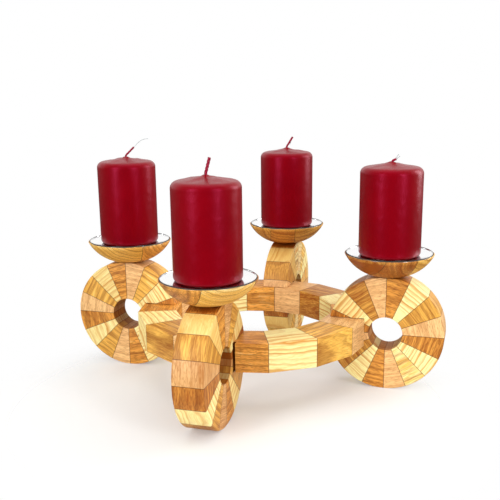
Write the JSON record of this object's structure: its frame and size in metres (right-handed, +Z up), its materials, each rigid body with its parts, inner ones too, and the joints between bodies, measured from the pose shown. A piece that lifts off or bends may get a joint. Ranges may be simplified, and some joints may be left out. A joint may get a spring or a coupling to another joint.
{
  "type": "advent candle holder",
  "caption": "Wooden advent candle holder: a flat ring of glued segments threaded through upright segmented wheels, each with a steel-lined bowl and a red pillar candle.",
  "frame": {"origin": "on the table, under the middle of the ring", "axes": "+Z up; the front wheel lies towards -Y and the right wheel towards +X"},
  "size_m": [0.3886, 0.3886, 0.2363],
  "materials": {
    "cherry": "oiled satin",
    "ash": "oiled satin",
    "larch": "oiled satin",
    "beech": "oiled satin",
    "polished_steel": "mirror polished",
    "spike_steel": "turned",
    "candle_wax": "satin wax",
    "wick_cotton": "waxed"
  },
  "bodies": {
    "holder": {"ring_cherry_segment_1": "cherry", "ring_ash_segment_1": "ash", "ring_larch_segment_1": "larch", "ring_beech_segment_1": "beech", "ring_cherry_segment_2": "cherry", "ring_ash_segment_2": "ash", "ring_larch_segment_2": "larch", "ring_beech_segment_2": "beech", "ring_cherry_segment_3": "cherry", "ring_ash_segment_3": "ash", "ring_larch_segment_3": "larch", "ring_beech_segment_3": "beech", "ring_cherry_segment_4": "cherry", "ring_ash_segment_4": "ash", "ring_larch_segment_4": "larch", "ring_beech_segment_4": "beech", "front_wheel_cherry_wedges": "cherry", "front_wheel_ash_wedges": "ash", "front_wheel_larch_wedges": "larch", "front_wheel_beech_wedges": "beech", "front_bowl_larch_strips": "larch", "front_bowl_cherry_strips": "cherry", "front_candle_plate": "polished_steel", "front_bowl_dowel": "beech", "front_candle_spike": "spike_steel", "right_wheel_cherry_wedges": "cherry", "right_wheel_ash_wedges": "ash", "right_wheel_larch_wedges": "larch", "right_wheel_beech_wedges": "beech", "right_bowl_larch_strips": "larch", "right_bowl_cherry_strips": "cherry", "right_candle_plate": "polished_steel", "right_bowl_dowel": "beech", "right_candle_spike": "spike_steel", "back_wheel_cherry_wedges": "cherry", "back_wheel_ash_wedges": "ash", "back_wheel_larch_wedges": "larch", "back_wheel_beech_wedges": "beech", "back_bowl_larch_strips": "larch", "back_bowl_cherry_strips": "cherry", "back_candle_plate": "polished_steel", "back_bowl_dowel": "beech", "back_candle_spike": "spike_steel", "left_wheel_cherry_wedges": "cherry", "left_wheel_ash_wedges": "ash", "left_wheel_larch_wedges": "larch", "left_wheel_beech_wedges": "beech", "left_bowl_larch_strips": "larch", "left_bowl_cherry_strips": "cherry", "left_candle_plate": "polished_steel", "left_bowl_dowel": "beech", "left_candle_spike": "spike_steel"},
    "front_pillar": {"front_candle": "candle_wax", "front_wick": "wick_cotton"},
    "right_pillar": {"right_candle": "candle_wax", "right_wick": "wick_cotton"},
    "back_pillar": {"back_candle": "candle_wax", "back_wick": "wick_cotton"},
    "left_pillar": {"left_candle": "candle_wax", "left_wick": "wick_cotton"}
  },
  "joints": [
    {"name": "front_candle_lift", "type": "slide", "parent": "holder", "child": "front_pillar", "axis": [0, 0, 1], "range_m": [0, 0.06]},
    {"name": "right_candle_lift", "type": "slide", "parent": "holder", "child": "right_pillar", "axis": [0, 0, 1], "range_m": [0, 0.06]},
    {"name": "back_candle_lift", "type": "slide", "parent": "holder", "child": "back_pillar", "axis": [0, 0, 1], "range_m": [0, 0.06]},
    {"name": "left_candle_lift", "type": "slide", "parent": "holder", "child": "left_pillar", "axis": [0, 0, 1], "range_m": [0, 0.06]}
  ]
}
